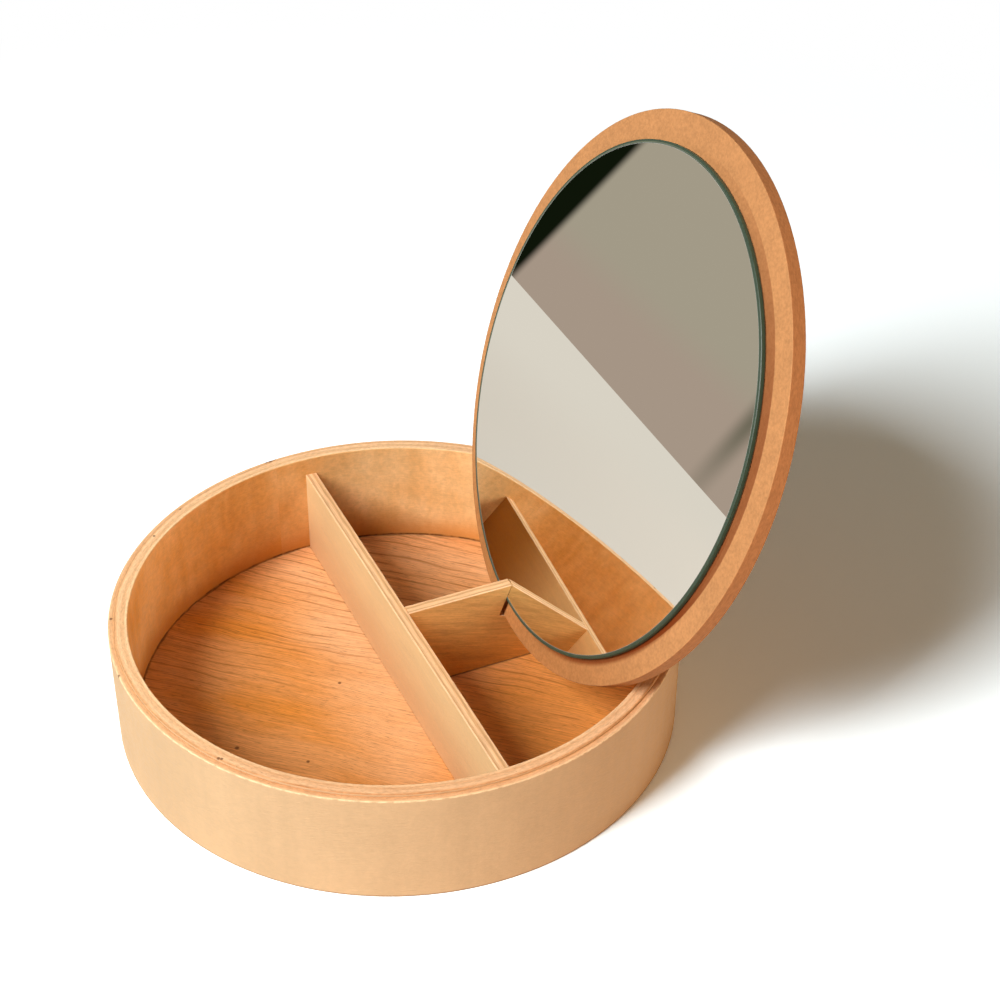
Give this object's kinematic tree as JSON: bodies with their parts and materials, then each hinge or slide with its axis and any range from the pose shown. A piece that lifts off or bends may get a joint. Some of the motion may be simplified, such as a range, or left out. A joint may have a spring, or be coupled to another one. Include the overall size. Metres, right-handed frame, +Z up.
{
  "type": "round vanity box with mirror lid",
  "caption": "Open round wooden box with upright plywood dividers, whose lift-off lid carries a round mirror and stands leaning in a slot cut down into a divider.",
  "frame": {"origin": "centre of the flat round underside, on the surface that the box rests on", "axes": "+Z up; +Y along the main divider; +X along the cross divider, towards the side that the lid leans to"},
  "size_m": [0.2552, 0.2451, 0.2407],
  "materials": {
    "hoop_wood": "bent light wood, fine straight grain round the hoop, thin satin lacquer",
    "floor_veneer": "open-pored reddish-brown veneer with fine dark grain lines",
    "divider_plywood": "smooth three-ply plywood, satin, with brown glue lines on its edges",
    "lid_board": "fine-grained fibreboard with a plain, matt, faintly speckled face",
    "mirror_glass": "clear float glass with a dark green, lightly ground edge",
    "mirror_silvering": "bright reflecting coat",
    "mirror_tape": "thin double-sided adhesive sheet"
  },
  "bodies": {
    "box": {"outer_hoop": "hoop_wood", "inner_hoop": "hoop_wood", "base_panel": "floor_veneer", "main_divider": "divider_plywood", "cross_divider": "divider_plywood"},
    "lid": {"lid_board": "lid_board", "mirror_tape": "mirror_tape", "mirror_silvering": "mirror_silvering", "mirror_glass": "mirror_glass"}
  },
  "joints": [
    {"name": "lid_lift", "type": "slide", "parent": "box", "child": "lid", "axis": [0.3665, 0, 0.9304], "range_m": [0, 0.06]}
  ]
}
